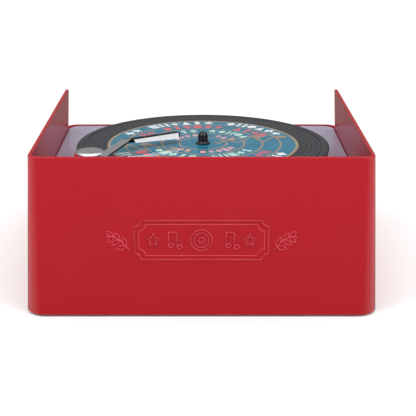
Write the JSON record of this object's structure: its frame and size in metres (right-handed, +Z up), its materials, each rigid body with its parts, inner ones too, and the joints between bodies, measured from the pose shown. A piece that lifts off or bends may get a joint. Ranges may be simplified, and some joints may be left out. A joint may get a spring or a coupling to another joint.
{
  "type": "tabletop record player",
  "caption": "Small tabletop record player: open-top moulded case with three high walls, deck plate, belt-driven platter with record, pivoting tone arm, front speaker, volume knob and buttons.",
  "frame": {"origin": "centre of the footprint on the table, under the middle of the case", "axes": "+Z up; the controls and the low front face -Y; the tall ornamented back wall faces +Y; the tone arm stands at +X +Y"},
  "size_m": [0.2198, 0.2218, 0.1017],
  "materials": {
    "red_plastic": "glossy",
    "deck_plastic": "glossy",
    "grille_plastic": "satin",
    "black_plastic": "matte",
    "rubber": "matte",
    "belt_rubber": "matte",
    "steel": "satin",
    "spring_metal": "bright",
    "magnet": "matte",
    "brass": "satin",
    "nylon": "matte",
    "battery_wrap": "glossy",
    "circuit_board": "satin",
    "component_black": "matte",
    "paper_cone": "matte",
    "felt": "matte",
    "vinyl": "glossy",
    "label_print": "glossy",
    "black_gloss": "glossy",
    "chrome": "polished"
  },
  "bodies": {
    "case": {"case_shell": "red_plastic", "deck_plate": "deck_plastic", "base_plate": "black_plastic", "battery_cover": "black_plastic", "rubber_feet": "rubber", "case_screws": "steel", "battery_cover_screw": "steel", "motor_screws": "steel", "batteries": "battery_wrap", "battery_contacts": "spring_metal", "main_board": "circuit_board", "board_components": "component_black", "board_screws": "steel", "speaker_grille": "grille_plastic", "speaker_frame": "steel", "speaker_magnet": "magnet", "speaker_cone": "paper_cone", "button_switches": "component_black", "button_board": "circuit_board", "board_spacers": "red_plastic", "button_board_screws": "steel", "volume_pot": "steel", "volume_nut": "chrome", "bearing_bush": "brass", "thrust_washer": "nylon", "motor": "steel", "drive_belt": "belt_rubber", "tonearm_base": "red_plastic", "tonearm_post": "steel", "post_nut": "steel"},
    "volume": {"volume_shaft": "steel", "volume_knob": "chrome"},
    "power": {"power_button": "chrome"},
    "play": {"play_button": "chrome"},
    "turntable": {"platter": "red_plastic", "slip_mat": "felt", "platter_shaft": "steel", "shaft_clip": "spring_metal", "record": "vinyl", "record_label": "label_print", "spindle_cap": "black_gloss"},
    "motor_rotor": {"motor_shaft": "steel", "motor_pulley": "brass"},
    "arm_turret": {"turret": "red_plastic", "turret_cap": "chrome", "arm_pin": "steel"},
    "arm": {"tonearm": "black_gloss", "arm_strip": "chrome", "headshell_face": "chrome", "stylus": "steel"}
  },
  "joints": [
    {"name": "platter_spin", "type": "hinge", "parent": "case", "child": "turntable", "pos_m": [-0.001, 0, 0.075], "axis": [0, 0, 1], "continuous": true},
    {"name": "motor_spin", "type": "hinge", "parent": "case", "child": "motor_rotor", "pos_m": [-0.042, 0.041, 0.075], "axis": [0, 0, 1], "continuous": true},
    {"name": "arm_swing", "type": "hinge", "parent": "case", "child": "arm_turret", "pos_m": [0.0703, 0.0705, 0.08], "axis": [0, 0, 1], "range_deg": [-3, 46]},
    {"name": "arm_lift", "type": "hinge", "parent": "arm_turret", "child": "arm", "pos_m": [0.06291, 0.07208, 0.092], "axis": [-0.9778, 0.2096, 0], "range_deg": [-1.3, 8]},
    {"name": "volume_turn", "type": "hinge", "parent": "case", "child": "volume", "pos_m": [0.08, -0.10819, 0.036], "axis": [0, -0.9988, 0.0489], "range_deg": [-150, 150]},
    {"name": "power_press", "type": "slide", "parent": "case", "child": "power", "axis": [0, 0.9988, -0.0489], "range_m": [0, 0.0012], "stiffness_N_per_m": 800},
    {"name": "play_press", "type": "slide", "parent": "case", "child": "play", "axis": [0, 0.9988, -0.0489], "range_m": [0, 0.0012], "stiffness_N_per_m": 800}
  ],
  "couplings": [
    {"joint": "motor_spin", "follows": "platter_spin", "ratio": 6.4}
  ]
}
